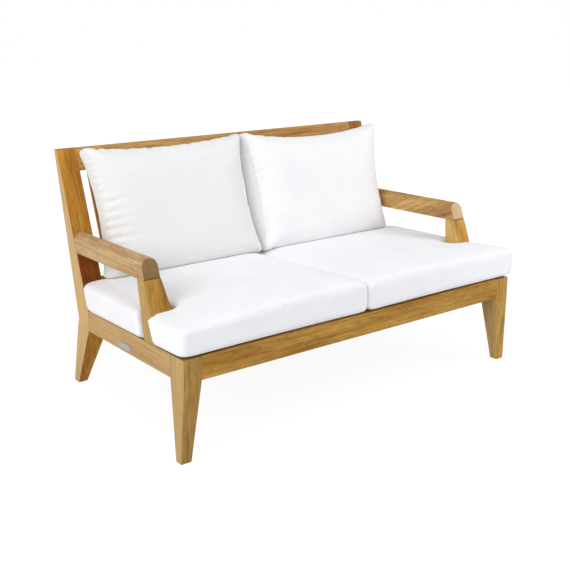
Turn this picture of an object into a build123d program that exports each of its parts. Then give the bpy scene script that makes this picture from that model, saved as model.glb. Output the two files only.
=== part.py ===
from build123d import *
import math
import os

# Patio loveseat: a solid teak frame with raked back, flat arms with round tops, and four loose
# cushions. Two seat cushions reach out over the side rails and are notched round the arm posts.
# Two back cushions stand on them and lean on the slatted back.
#
# Millimetres, +Z up, +Y towards the back, and left means -X, the left of someone who faces the
# seat. While the pieces are made, depth is measured from the face of the front legs. At the end
# everything moves forward, so that the origin is on the floor under the middle of the whole piece.

# The frame as a whole
overall_width = 1500.0
seat_depth = 649.0
seat_front_height = 340.0
overall_height = 874.0
seat_tilt = math.radians(1.8)
back_rake = math.radians(21.75)
crest_thickness = 21.0
edge_round = 2.5
fit_gap = 0.15
overrun = 60.0

# Legs
front_leg_width = 66.0
front_leg_depth = 80.0
front_foot_width = 38.0
front_foot_depth = 32.0
front_foot_setback = 11.0
front_foot_outset = 6.0
stile_width = 77.0
rear_leg_depth = 80.0
rear_knee_height = 270.0
rear_foot_reach = 818.0
rear_foot_depth = 38.0
rear_foot_width = 36.0
rear_foot_inset = 15.0

# Seat rails and their joints
rail_height = 77.0
front_rail_thickness = 30.0
rear_rail_thickness = 34.0
rear_rail_setback = 10.0
tenon_thickness = 14.0
tenon_length = 25.0
tenon_shoulder = 16.0
housing_depth = 10.0

# Seat slats, and what carries them
seat_slat_count = 9
seat_slat_width = 55.0
seat_slat_thickness = 18.0
seat_slat_end_gap = 0.5
cleat_width = 24.0
cleat_height = 28.0
cleat_end_gap = 2.0
bearer_width = 34.0
bearer_height = 44.0
bearer_offset = 230.0
screw_radius = 2.0
screw_length = 34.0
screw_head_radius = 4.0
screw_head_height = 3.0
screw_sink = 0.5

# Back rails and slats, measured up the slope of the back and square to it
top_rail_height = 83.0
lower_rail_start = 50.0
lower_rail_height = 65.0
lower_rail_thickness = 22.0
back_tenon_thickness = 10.0
back_slat_count = 17
back_slat_width = 46.0
back_slat_thickness = 9.0
back_slat_recess = 7.0

# Arms and the posts under them
arm_width = 63.0
arm_thickness = 69.0
arm_front_height = 531.5
arm_arris = 5.0
post_base_front = 162.0
post_base_depth = 79.0
post_base_width = 98.0
post_top_front = 234.0
post_top_depth = 47.0
post_top_width = 64.0
dowel_radius = 5.0
dowel_length = 50.0
arm_dowel_spacing = 28.0
rail_dowel_spacing = 32.0

# Bare plate on the left side rail
plate_length = 80.0
plate_height = 20.0
plate_thickness = 1.5
plate_corner = 6.0
plate_depth = 374.0
plate_rise = 20.0
pin_radius = 1.2
pin_length = 12.0
pin_head_radius = 2.2
pin_head_height = 0.8
pin_inset = 8.0

# Cushions
soft_gap = 0.3
cushion_split = 2.0
cover_wall = 3.0
zip_width = 24.0
zip_thickness = 1.2
zip_end_gap = 90.0

seat_cushion_reach = 774.0
seat_cushion_nose = 13.0
seat_cushion_height = 120.0
seat_cushion_rear_gap = 2.0
seat_crown = 11.0
seat_crown_run = 150.0
seat_top_fall = 16.0
seat_top_round = 16.0
seat_bottom_run = 45.0
seat_bottom_rise = 17.0
seat_outer_corner = 28.0
seat_rear_corner = 50.0
seat_inner_corner = 12.0
seat_side_draw = 5.0
notch_gap = 4.0
notch_corner = 10.0

pillow_top_widths = {"left": 700.0, "right": 720.0}
pillow_bottom_widths = {"left": 682.0, "right": 674.0}
pillow_height = 494.0
pillow_outer_drops = {"left": 0.0, "right": 10.0}
pillow_sink = 16.0
pillow_boxing = 64.0
pillow_crown = 45.0
pillow_crown_run = 150.0
pillow_crown_power = 0.7
pillow_corner = 14.0
pillow_side_draws = {"left": 28.0, "right": 18.0}
pillow_pressed_draw = 5.0
pillow_top_dips = {"left": 22.0, "right": 36.0}
pillow_base_offset = 50.0
pillow_upright = math.radians(3.0)
pillow_pinch = math.radians(1.8)
pillow_crown_shares = (0.0, 0.12, 0.3, 0.55, 0.8, 1.0)

# Lines and planes that the pieces share
half_width = overall_width / 2
tilt_slope = math.tan(seat_tilt)
rake_slope = math.tan(back_rake)


def seat_line(depth):
    """Height of the top of the seat rails, which fall towards the back."""
    return seat_front_height - depth * tilt_slope


def rail_under(depth):
    """Height of the underside of the seat rails."""
    return seat_line(depth) - rail_height


def back_point(along, behind):
    """Depth and height of a point that far up the front of the back, and that far behind it."""
    depth = seat_depth + along * math.sin(back_rake) + behind * math.cos(back_rake)
    height = seat_line(seat_depth) + along * math.cos(back_rake) - behind * math.sin(back_rake)
    return depth, height


def back_line(height):
    """Depth of the front face of the back at a height."""
    return seat_depth + (height - seat_line(seat_depth)) * rake_slope


def arm_under(depth):
    """Height of the underside of the arms, which fall as the seat does."""
    return arm_front_height - (depth - post_top_front) * tilt_slope


def arm_meets_back(rise):
    """Depth and height at which a line that far above the arm's underside meets the back."""
    start = arm_under(0) + rise - seat_depth * tilt_slope
    height = (start + tilt_slope * rake_slope * seat_line(seat_depth)) / (1 + tilt_slope * rake_slope)
    return back_line(height), height


crest_front = back_line(overall_height)
crest_back = crest_front + crest_thickness
crest_along = (overall_height - seat_line(seat_depth)) / math.cos(back_rake)
knee_depth = seat_depth + rear_leg_depth
back_rail_reach = half_width - stile_width
side_rail_inner = half_width - front_leg_width
middle_depth = (crest_back - seat_cushion_nose) / 2


def block(x_low, x_high, depth_low, depth_high, low, high):
    """A plain block between two corners."""
    box = Box(x_high - x_low, depth_high - depth_low, high - low, align=(Align.MIN, Align.MIN, Align.MIN))
    return Pos(x_low, depth_low, low) * box


def side_board(outline, x_low, x_high):
    """A board drawn from the side, as depth and height, that runs from x_low to x_high."""
    points = [(x_low, depth, height) for depth, height in outline]
    return extrude(make_face(Polyline(*points, close=True)), amount=x_high - x_low, dir=(1, 0, 0))


def front_board(outline, depth_low, depth_high):
    """A board drawn from the front, as x and height, that runs from depth_low to depth_high."""
    points = [(x, depth_low, height) for x, height in outline]
    return extrude(make_face(Polyline(*points, close=True)), amount=depth_high - depth_low, dir=(0, 1, 0))


def eased(board):
    """A board with its edges rounded over by hand sanding."""
    return fillet(board.edges(), edge_round)


def rod(start, direction, radius, length):
    """A round rod from a point, along a direction."""
    return extrude(Plane(origin=start, z_dir=direction) * Circle(radius), amount=length)


def on_side(side, left_piece):
    """The left piece itself, or its mirror image on the right."""
    return left_piece if side == "left" else mirror(left_piece, about=Plane.YZ)


def save(node, pieces):
    """Write one node, moved so that the origin is under the middle of the loveseat."""
    placed = [Pos(0, -middle_depth, 0) * piece for piece in pieces]
    shape = placed[0] if len(placed) == 1 else Compound(children=placed)
    export_step(shape, f"parts/{node}.step")


os.makedirs("parts", exist_ok=True)

# Tenons and the mortises that take them. A tenon is given by its corners, and its mortise is the
# same block with the fitting gap all round.


def tenon(corners, grow=0.0):
    """The block of a tenon, or with grow the mortise that it goes into."""
    x_low, x_high, depth_low, depth_high, low, high = corners
    return block(x_low - grow, x_high + grow, depth_low - grow, depth_high + grow, low - grow, high + grow)


front_rail_middle = front_rail_thickness / 2
front_rail_tenon = (
    -side_rail_inner - tenon_length,
    -side_rail_inner + tenon_length,
    front_rail_middle - tenon_thickness / 2,
    front_rail_middle + tenon_thickness / 2,
    rail_under(0) + tenon_shoulder,
    seat_line(front_rail_thickness) - tenon_shoulder,
)
rear_rail_front = seat_depth + rear_rail_setback
rear_rail_back = rear_rail_front + rear_rail_thickness
rear_rail_middle = (rear_rail_front + rear_rail_back) / 2
rear_rail_tenon = (
    -back_rail_reach - tenon_length,
    -back_rail_reach + tenon_length,
    rear_rail_middle - tenon_thickness / 2,
    rear_rail_middle + tenon_thickness / 2,
    rail_under(rear_rail_front) + tenon_shoulder,
    seat_line(rear_rail_back) - tenon_shoulder,
)
side_rail_middle = -half_width + front_leg_width / 2


def side_rail_tenon(shoulder_depth):
    """The tenon of the left side rail across its shoulder at a leg."""
    return (
        side_rail_middle - tenon_thickness / 2,
        side_rail_middle + tenon_thickness / 2,
        shoulder_depth - tenon_length,
        shoulder_depth + tenon_length,
        rail_under(shoulder_depth) + tenon_shoulder,
        seat_line(shoulder_depth) - tenon_shoulder,
    )


def back_outline(along_low, along_high, behind_low, behind_high):
    """The corners of a piece that lies in the back, seen from the side."""
    return [
        back_point(along_low, behind_low),
        back_point(along_high, behind_low),
        back_point(along_high, behind_high),
        back_point(along_low, behind_high),
    ]


top_rail_start = crest_along - top_rail_height
top_rail_thickness = crest_thickness * math.cos(back_rake)
lower_rail_end = lower_rail_start + lower_rail_height


def back_tenon(along_low, along_high, thickness, reach_inside, grow=0.0):
    """The tenon of a back rail into the left stile, or with grow its mortise."""
    outline = back_outline(
        along_low + tenon_shoulder - grow,
        along_high - tenon_shoulder + grow,
        (thickness - back_tenon_thickness) / 2 - grow,
        (thickness + back_tenon_thickness) / 2 + grow,
    )
    return side_board(outline, -back_rail_reach - tenon_length - grow, -back_rail_reach + reach_inside)


# Dowels that hold each arm to its post and its stile, and each post to its side rail
arm_middle = -half_width + arm_width / 2
arm_back_depth, arm_back_height = arm_meets_back(arm_thickness / 2)
post_top_middle = post_top_front + post_top_depth / 2
post_base_middle = post_base_front + post_base_depth / 2


def left_dowels(grow=0.0):
    """The dowels of the left side, or with grow the holes for them."""
    dowels = []
    for sign in (-1, 1):
        arm_x = arm_middle + sign * arm_dowel_spacing / 2
        rail_x = side_rail_middle + sign * rail_dowel_spacing / 2
        length = dowel_length + 2 * grow
        radius = dowel_radius + grow
        arm_start = (arm_x, post_top_middle, arm_under(post_top_middle) - length / 2)
        rail_start = (rail_x, post_base_middle, seat_line(post_base_middle) - length / 2)
        back_start = (arm_x, arm_back_depth - length / 2, arm_back_height)
        dowels.append(rod(arm_start, (0, 0, 1), radius, length))
        dowels.append(rod(rail_start, (0, 0, 1), radius, length))
        dowels.append(rod(back_start, (0, 1, 0), radius, length))
    return dowels


def drilled(board):
    """A board of the left side with the dowel holes that reach into it."""
    for hole in left_dowels(fit_gap):
        board -= hole
    return board


dowels = left_dowels()
save("frame_dowels", dowels + [on_side("right", dowel) for dowel in dowels])

# Legs are sawn tapering and their long edges are rounded, so they are made from level outlines.


def tapered_leg(levels):
    """A leg through outlines given as height, then the x and depth of its sides."""
    outlines = []
    for height, x_low, x_high, depth_low, depth_high in levels:
        middle = Pos((x_low + x_high) / 2, (depth_low + depth_high) / 2, height)
        outlines.append(middle * RectangleRounded(x_high - x_low, depth_high - depth_low, edge_round))
    return loft(outlines, ruled=True)


def between(start, end, height):
    """Where the line between two points, given as place and height, is at a height."""
    share = (height - start[1]) / (end[1] - start[1])
    return start[0] + share * (end[0] - start[0])


# Front legs: square and flush with the rails at the top, tapered below them to a small foot that
# stands a little outside the rail and behind its face.

front_knee_height = rail_under(front_leg_depth)
front_foot_x = -half_width - front_foot_outset
front_foot_back = front_foot_setback + front_foot_depth
front_leg = tapered_leg(
    [
        (0, front_foot_x, front_foot_x + front_foot_width, front_foot_setback, front_foot_back),
        (front_knee_height, -half_width, -side_rail_inner, 0, front_leg_depth),
        (seat_front_height + overrun, -half_width, -side_rail_inner, 0, front_leg_depth),
    ]
)
front_leg_cut = [
    (-overrun, 0),
    (-overrun, seat_line(-overrun)),
    (front_leg_depth + overrun, seat_line(front_leg_depth + overrun)),
    (front_leg_depth + overrun, 0),
]
front_leg &= side_board(front_leg_cut, -half_width - overrun, -side_rail_inner + overrun)
front_leg -= tenon(front_rail_tenon, fit_gap)
front_leg -= tenon(side_rail_tenon(front_leg_depth), fit_gap)

# Rear legs: leg and back stile are one plank, sawn to a knee at the seat. The back part thins
# towards the crest, and the leg tapers to a small foot.

rear_foot_x = -half_width + rear_foot_inset
rear_foot_front = rear_foot_reach - rear_foot_depth
front_bend = seat_line(seat_depth)
inner_bend = rail_under(seat_depth)
rear_leg_levels = [(0, rear_foot_x, rear_foot_x + rear_foot_width, rear_foot_front, rear_foot_reach)]
for height in (inner_bend, rear_knee_height, front_bend, overall_height):
    behind = between((knee_depth, rear_knee_height), (crest_back, overall_height), height)
    if height < rear_knee_height:
        behind = between((rear_foot_reach, 0), (knee_depth, rear_knee_height), height)
    ahead = max(seat_depth, back_line(height))
    rear_leg_levels.append((height, -half_width, -back_rail_reach, ahead, behind))
rear_leg = tapered_leg(rear_leg_levels)
rear_leg -= tenon(rear_rail_tenon, fit_gap)
rear_leg -= tenon(side_rail_tenon(seat_depth), fit_gap)
rear_leg -= back_tenon(top_rail_start, crest_along, top_rail_thickness, overrun, fit_gap)
rear_leg -= back_tenon(lower_rail_start, lower_rail_end, lower_rail_thickness, overrun, fit_gap)
rear_leg = drilled(rear_leg)

for side in ("left", "right"):
    save(f"front_leg_{side}", [on_side(side, front_leg)])
    save(f"rear_leg_{side}", [on_side(side, rear_leg)])

# Screws that hold the seat slats: one at each end, into the cleats, and one over each bearer.
# They stand upright in a counterbore, a little below the top of the slat.

slat_gap = (seat_depth - front_rail_thickness - seat_slat_count * seat_slat_width) / (seat_slat_count + 1)
slat_starts = []
for index in range(seat_slat_count):
    slat_starts.append(front_rail_thickness + slat_gap + index * (seat_slat_width + slat_gap))
cleat_middle = side_rail_inner - cleat_width / 2
screw_columns = (-cleat_middle, -bearer_offset, bearer_offset, cleat_middle)


def slat_screw(x, depth, grow=0.0):
    """One slat screw, or with grow the hole for it and its counterbore."""
    head_top = seat_line(depth) - screw_sink
    head_start = (x, depth, head_top - screw_head_height - grow)
    head_length = screw_head_height + (overrun if grow else 0)
    head = rod(head_start, (0, 0, 1), screw_head_radius + grow, head_length)
    shank_base = head_top - screw_length - grow
    return head + rod((x, depth, shank_base), (0, 0, 1), screw_radius + grow, screw_length - grow)


screw_depths = [start + seat_slat_width / 2 for start in slat_starts]
screws = [slat_screw(x, depth) for depth in screw_depths for x in screw_columns]
save("seat_slat_screws", screws)


def column_holes(x):
    """The screw holes along one line from front to back."""
    return [slat_screw(x, depth, fit_gap) for depth in screw_depths]


# Side rails: as thick as the front legs and flush with them, tenoned into both legs. The left one
# carries a small bare plate on two pins.

side_rail_outline = [
    (front_leg_depth, seat_line(front_leg_depth)),
    (seat_depth, seat_line(seat_depth)),
    (seat_depth, rail_under(seat_depth)),
    (front_leg_depth, rail_under(front_leg_depth)),
]
side_rail = eased(side_board(side_rail_outline, -half_width, -side_rail_inner))
side_rail += tenon(side_rail_tenon(front_leg_depth))
side_rail += tenon(side_rail_tenon(seat_depth))
side_rail = drilled(side_rail)

plate_middle = rail_under(plate_depth) + plate_rise
plate_plane = Plane(
    origin=(-half_width, plate_depth, plate_middle),
    x_dir=(0, -math.cos(seat_tilt), math.sin(seat_tilt)),
    z_dir=(-1, 0, 0),
)


def plate_pin(sign, grow=0.0):
    """One of the two pins of the plate, or with grow its hole."""
    place = Pos(sign * (plate_length / 2 - pin_inset), 0, plate_thickness)
    shank = Pos(0, 0, -pin_length / 2) * Cylinder(pin_radius + grow, pin_length + 2 * grow)
    head = Pos(0, 0, pin_head_height / 2) * Cylinder(pin_head_radius, pin_head_height)
    return plate_plane * place * (shank if grow else shank + head)


plate_outline = RectangleRounded(plate_length, plate_height, plate_corner)
plate = plate_plane * extrude(plate_outline, amount=plate_thickness)
left_side_rail = side_rail
for sign in (-1, 1):
    plate -= plate_pin(sign, fit_gap)
    left_side_rail -= plate_pin(sign, fit_gap)
save("side_rail_left", [left_side_rail])
save("side_rail_right", [on_side("right", side_rail)])
save("rail_plate", [plate])
save("rail_plate_pins", [plate_pin(-1), plate_pin(1)])

# Cleats screwed along the inside of the side rails, which carry the ends of the slats

cleat_start = front_rail_thickness + cleat_end_gap
cleat_end = seat_depth - cleat_end_gap


def under_slats(depth):
    """Height of the underside of the seat slats."""
    return seat_line(depth) - seat_slat_thickness


def below_slats(start, end, height, grow=0.0):
    """The side view of a bar that lies right under the slats, or with grow the space for it."""
    low = start - grow
    high = end + grow
    return [
        (low, under_slats(low) + grow),
        (high, under_slats(high) + grow),
        (high, under_slats(high) - height - grow),
        (low, under_slats(low) - height - grow),
    ]


cleat_outline = below_slats(cleat_start, cleat_end, cleat_height)
cleat = side_board(cleat_outline, -side_rail_inner, -side_rail_inner + cleat_width)
for hole in column_holes(-cleat_middle):
    cleat -= hole
for side in ("left", "right"):
    save(f"seat_cleat_{side}", [on_side(side, cleat)])

# Two bearers under the slats, housed into the front and rear rails, which also tie those rails

bearer_start = front_rail_thickness - housing_depth
bearer_end = rear_rail_front + housing_depth


def bearer_block(grow=0.0):
    """The left bearer, or with grow the space that the rails leave for it."""
    outline = below_slats(bearer_start, bearer_end, bearer_height, grow)
    side_reach = bearer_width / 2 + grow
    return side_board(outline, -bearer_offset - side_reach, -bearer_offset + side_reach)


bearer = bearer_block()
for hole in column_holes(-bearer_offset):
    bearer -= hole
housing = bearer_block(fit_gap)
for side in ("left", "right"):
    save(f"seat_bearer_{side}", [on_side(side, bearer)])

# Front and rear seat rails, between the legs


def cross_rail(depth_low, depth_high, reach, corners):
    """A seat rail from side to side, with a tenon at each end and housings for the bearers."""
    outline = [
        (depth_low, seat_line(depth_low)),
        (depth_high, seat_line(depth_high)),
        (depth_high, rail_under(depth_high)),
        (depth_low, rail_under(depth_low)),
    ]
    rail = eased(side_board(outline, -reach, reach))
    for side in ("left", "right"):
        rail += on_side(side, tenon(corners))
        rail -= on_side(side, housing)
    return rail


save("front_rail", [cross_rail(0, front_rail_thickness, side_rail_inner, front_rail_tenon)])
save("rear_rail", [cross_rail(rear_rail_front, rear_rail_back, back_rail_reach, rear_rail_tenon)])

# Seat slats, from side to side, level with the top of the rails

for index, start in enumerate(slat_starts):
    end = start + seat_slat_width
    outline = [
        (start, seat_line(start)),
        (end, seat_line(end)),
        (end, under_slats(end)),
        (start, under_slats(start)),
    ]
    slat_reach = side_rail_inner - seat_slat_end_gap
    slat = eased(side_board(outline, -slat_reach, slat_reach))
    for x in screw_columns:
        slat -= slat_screw(x, screw_depths[index], fit_gap)
    save(f"seat_slat_{index + 1:02d}", [slat])

# Back: a deep top rail and a lower rail between the stiles, and upright slats let into both

back_slat_gap = (2 * back_rail_reach - back_slat_count * back_slat_width) / (back_slat_count + 1)
back_slat_starts = [
    -back_rail_reach + back_slat_gap + index * (back_slat_width + back_slat_gap)
    for index in range(back_slat_count)
]


def back_slat(start, grow=0.0):
    """A back slat from one housing to the other, or with grow the space for it."""
    outline = back_outline(
        lower_rail_end - housing_depth - grow,
        top_rail_start + housing_depth + grow,
        back_slat_recess - grow,
        back_slat_recess + back_slat_thickness + grow,
    )
    return side_board(outline, start - grow, start + back_slat_width + grow)


top_rail_outline = [
    back_point(top_rail_start, 0),
    (crest_front, overall_height),
    (crest_back, overall_height),
    back_point(top_rail_start, top_rail_thickness),
]
lower_rail_outline = back_outline(lower_rail_start, lower_rail_end, 0, lower_rail_thickness)
back_rails = {
    "back_top_rail": (top_rail_outline, top_rail_start, crest_along, top_rail_thickness),
    "back_lower_rail": (lower_rail_outline, lower_rail_start, lower_rail_end, lower_rail_thickness),
}
for node, (outline, along_low, along_high, thickness) in back_rails.items():
    rail = eased(side_board(outline, -back_rail_reach, back_rail_reach))
    for side in ("left", "right"):
        rail += on_side(side, back_tenon(along_low, along_high, thickness, tenon_length))
    for start in back_slat_starts:
        rail -= back_slat(start, fit_gap)
    save(node, [rail])
for index, start in enumerate(back_slat_starts):
    save(f"back_slat_{index + 1:02d}", [back_slat(start)])

# Arm posts: stand on the side rails and lean back, wide at the foot and slim under the arm

post_top_back = post_top_front + post_top_depth
post_base_back = post_base_front + post_base_depth
post_side = [
    (post_base_front, seat_line(post_base_front)),
    (post_base_back, seat_line(post_base_back)),
    (post_top_back, arm_under(post_top_back)),
    (post_top_front, arm_under(post_top_front)),
]
post_base_height = seat_line(post_base_middle)
post_flare = (post_base_width - post_top_width) / (arm_under(post_top_middle) - post_base_height)


def post_inner(height):
    """How far the inner face of the left post is from the middle at a height."""
    return -half_width + post_base_width - (height - post_base_height) * post_flare


post_low = post_base_height - overrun
post_high = arm_front_height + overrun
post_front = [
    (-half_width, post_low),
    (post_inner(post_low), post_low),
    (post_inner(post_high), post_high),
    (-half_width, post_high),
]
post = side_board(post_side, -half_width - overrun, -half_width + post_base_width + overrun)
post &= front_board(post_front, post_base_front - overrun, post_top_back + overrun)
post = drilled(eased(post))

# Arms: a square-sided bar with a half-round top, cut at the front in line with the face of the
# post, and butted against the stile

post_lean = (post_top_front - post_base_front) / (arm_front_height - seat_line(post_base_front))
arm_outline = [
    (post_top_front, arm_front_height),
    (post_top_front + arm_thickness * post_lean, arm_front_height + arm_thickness),
    arm_meets_back(arm_thickness),
    arm_meets_back(0),
]
# The bar starts ahead of the front cut, and both cuts are then made in one go
bar_start = post_top_front - overrun
bar_plane = Plane(
    origin=(arm_middle, bar_start, arm_under(bar_start)),
    x_dir=(-1, 0, 0),
    z_dir=(0, math.cos(seat_tilt), -math.sin(seat_tilt)),
)
spring_line = arm_thickness - arm_width / 2
bar_left = (-arm_width / 2, spring_line)
bar_right = (arm_width / 2, spring_line)
bar_section = make_face(
    [
        Polyline(bar_left, (-arm_width / 2, 0), (arm_width / 2, 0), bar_right),
        ThreePointArc(bar_right, (0, arm_thickness), bar_left),
    ]
)
arm_length = arm_back_depth - bar_start + overrun
arm = extrude(bar_plane * bar_section, amount=arm_length)
arm &= side_board(arm_outline, -half_width - overrun, -half_width + arm_width + overrun)
arm = fillet(arm.faces().sort_by(Axis.Y)[0].edges(), arm_arris)
arm = drilled(arm)

for side in ("left", "right"):
    save(f"arm_post_{side}", [on_side(side, post)])
    save(f"arm_{side}", [on_side(side, arm)])

# Cushions. Each is a sewn cover with a thin wadding lining, over a foam or fibre filling, closed
# by a zip. One form makes the outside of the cover, its inside and the filling.


def soft_outline(plane, corners, draws, corner_radii):
    """A four-cornered outline whose sides are drawn in between rounded corners."""
    edges = []
    for index, start in enumerate(corners):
        end = corners[(index + 1) % len(corners)]
        draw = draws[index]
        run_x = end[0] - start[0]
        run_y = end[1] - start[1]
        length = math.hypot(run_x, run_y)
        if draw:
            middle_x = (start[0] + end[0]) / 2 - draw * run_y / length
            middle_y = (start[1] + end[1]) / 2 + draw * run_x / length
            edges.append(ThreePointArc(start, (middle_x, middle_y), end))
        else:
            edges.append(Line(start, end))
    flat = make_face(edges)
    for corner, radius in zip(corners, corner_radii):
        near = []
        for vertex in flat.vertices():
            if math.hypot(vertex.X - corner[0], vertex.Y - corner[1]) < radius / 2:
                near.append(vertex)
        flat = fillet(near, radius)
    return plane * flat


def quarter_round(run, rise, steps):
    """Steps round a quarter oval: how far in, and how far short of the full rise, each one is."""
    angles = [math.pi / 2 * step / steps for step in range(steps + 1)]
    return [(run * (1 - math.cos(angle)), rise * (1 - math.sin(angle))) for angle in angles]


# Seat cushions: boxed, crowned and thinner at the back, out over the rails and a little past them,
# with an underside that curls up towards its edges, and cut round the leaning post. They are made
# level and then laid on the slope of the seat.

seat_round_steps = 4
seat_crown_steps = 4
seat_rear_lean = math.tan(back_rake - seat_tilt)
seat_rear_foot = seat_depth / math.cos(seat_tilt) - seat_cushion_rear_gap
seat_lay = Pos(0, 0, seat_front_height + soft_gap) * Rot(X=-math.degrees(seat_tilt))


def seat_notch(inset):
    """The space that the left seat cushion leaves for the post, whose lean it follows."""
    gap = notch_gap + inset
    outline = []
    for height in (post_low, post_high):
        ahead = between((post_base_front, seat_line(post_base_front)), post_side[-1], height)
        behind = between((post_base_back, seat_line(post_base_back)), post_side[-2], height)
        outline.append([(ahead - gap, height), (behind + gap, height)])
    low, high = outline
    notch = side_board(low + high[::-1], -seat_cushion_reach - overrun, -half_width + post_base_width + gap)
    inner_edges = notch.faces().sort_by(Axis.X)[-1].edges().filter_by(Axis.Y, reverse=True)
    return fillet(inner_edges, notch_corner)


def seat_form(inset=0.0):
    """The left seat cushion in its place, with its skin taken in by the inset."""
    edge_height = seat_cushion_height - seat_crown
    rings = list(reversed(quarter_round(seat_bottom_run, seat_bottom_rise, seat_round_steps)))
    for into, short in quarter_round(seat_top_round, seat_top_round, seat_round_steps):
        rings.append((into, edge_height - short))
    for step in range(1, seat_crown_steps + 1):
        share = step / seat_crown_steps
        into = seat_top_round + share * (seat_crown_run - seat_top_round)
        rings.append((into, edge_height + seat_crown * math.sin(math.pi / 2 * share)))
    faces = []
    for into, height in rings:
        level = inset + height * (seat_cushion_height - 2 * inset) / seat_cushion_height
        take = inset + into
        fall = math.atan(seat_top_fall / seat_depth * level / seat_cushion_height)
        plane = Plane(
            origin=(0, seat_depth / 2, level),
            x_dir=(1, 0, 0),
            z_dir=(0, math.sin(fall), math.cos(fall)),
        )
        front = (-seat_cushion_nose + take - seat_depth / 2) / math.cos(fall)
        rear = seat_rear_foot + level * seat_rear_lean - take - seat_depth / 2
        rear /= math.cos(fall) + seat_rear_lean * math.sin(fall)
        corners = [
            (-seat_cushion_reach + take, front),
            (-cushion_split / 2 - take, front),
            (-cushion_split / 2 - take, rear),
            (-seat_cushion_reach + take, rear),
        ]
        draws = (seat_side_draw, 0, 0, seat_side_draw)
        curl = into if height < seat_bottom_rise else 0.0
        radii = (seat_outer_corner + curl, seat_inner_corner, seat_inner_corner, seat_rear_corner + curl)
        faces.append(soft_outline(plane, corners, draws, radii))
    return seat_lay * loft(faces, ruled=True) - seat_notch(inset)


seat_zip_start = (seat_cushion_height - zip_width) / 2


def seat_zip(grow=0.0):
    """The zip in the rear boxing of the left seat cushion, or with grow the pocket for it."""
    outer = overrun if grow else 0.0
    outline = []
    for height, out in (
        (seat_zip_start - grow, -zip_thickness - grow),
        (seat_zip_start + zip_width + grow, -zip_thickness - grow),
        (seat_zip_start + zip_width + grow, outer),
        (seat_zip_start - grow, outer),
    ):
        rear = seat_rear_foot - soft_gap + height * seat_rear_lean
        outline.append((rear + out, height))
    x_low = -seat_cushion_reach + zip_end_gap - grow
    return seat_lay * side_board(outline, x_low, -cushion_split / 2 - zip_end_gap + grow)


seat_cover = seat_form() - seat_form(cover_wall) - seat_zip(fit_gap)
seat_core = seat_form(cover_wall + soft_gap)
for side in ("left", "right"):
    save(f"seat_cover_{side}", [on_side(side, seat_cover)])
    save(f"seat_core_{side}", [on_side(side, seat_core)])
    save(f"seat_zip_{side}", [on_side(side, seat_zip())])

# Back cushions: pillows with a narrow boxing, drawn in at the sides and dipped along the top. They
# stand on the seat cushions, whose crown they follow, and lean flat against the back rails. Where
# the two are pressed together behind, their rear seams are hardly drawn in.

pillow_lean = back_rake - pillow_upright
seat_top = seat_front_height + soft_gap + (seat_cushion_height - seat_top_fall / 2) / math.cos(seat_tilt)
pillow_foot_height = seat_top - seat_depth * tilt_slope
pillow_foot_depth = back_line(pillow_foot_height) - pillow_base_offset / math.cos(back_rake)


def pillow_plane(lean):
    """A plane through the foot of a back cushion, whose normal comes forward and up."""
    return Plane(
        origin=(0, pillow_foot_depth, pillow_foot_height),
        x_dir=(1, 0, 0),
        z_dir=(0, -math.cos(lean), math.sin(lean)),
    )


def pillow_room(inset=0.0):
    """The space in front of the stiles and back rails that a left back cushion can fill."""
    rest = soft_gap + inset
    low = back_point(0, -rest)
    high = back_point(crest_along + overrun, -rest)
    return side_board([(0, low[1]), low, high, (0, high[1])], -half_width - overrun, 0)


def pillow_form(side, inset=0.0):
    """The back cushion of one side, made at the left, with its skin taken in by the inset."""
    half_boxing = pillow_boxing / 2
    inner_height = pillow_height - pillow_sink
    outer_height = inner_height - pillow_outer_drops[side]
    side_draw = pillow_side_draws[side]
    rings = []
    for share in pillow_crown_shares:
        swell = math.sin(math.pi / 2 * share**pillow_crown_power)
        rings.append((share * pillow_crown_run, half_boxing + pillow_crown * swell, 1 - share))
    faces = []
    rear = [(pillow_plane(pillow_lean - pillow_pinch), -1, ring) for ring in reversed(rings)]
    front = [(pillow_plane(pillow_lean), 1, ring) for ring in rings]
    for plane, sign, (into, out, slack) in rear + front:
        take = inset + into
        corners = [
            (-cushion_split / 2 - pillow_bottom_widths[side] + take, -pillow_sink + take),
            (-cushion_split / 2 - take, -pillow_sink + take),
            (-cushion_split / 2 - take, inner_height - take),
            (-cushion_split / 2 - pillow_top_widths[side] + take, outer_height - take),
        ]
        inner_draw = pillow_pressed_draw if sign < 0 else side_draw
        draws = (0, inner_draw * slack, pillow_top_dips[side] * slack, side_draw * slack)
        level = plane.offset(sign * (out - inset))
        faces.append(soft_outline(level, corners, draws, [pillow_corner] * len(corners)))
    seat_below = Pos(0, 0, soft_gap + inset) * seat_form()
    return (loft(faces, ruled=True) & pillow_room(inset)) - seat_below


def pillow_zip(side, grow=0.0):
    """The zip along the foot of a left back cushion, or with grow the pocket for it."""
    strip = pillow_plane(pillow_lean) * block(
        -pillow_bottom_widths[side] + zip_end_gap - grow,
        -zip_end_gap + grow,
        -overrun,
        overrun,
        -zip_width / 2 - grow,
        zip_width / 2 + grow,
    )
    above = strip & Pos(0, 0, soft_gap + zip_thickness + grow) * seat_form()
    return above if grow else above - Pos(0, 0, soft_gap) * seat_form()


for side in ("left", "right"):
    cover = pillow_form(side) - pillow_form(side, cover_wall) - pillow_zip(side, fit_gap)
    save(f"back_cover_{side}", [on_side(side, cover)])
    save(f"back_core_{side}", [on_side(side, pillow_form(side, cover_wall + soft_gap))])
    save(f"back_zip_{side}", [on_side(side, pillow_zip(side))])
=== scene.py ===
import math
import random

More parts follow.
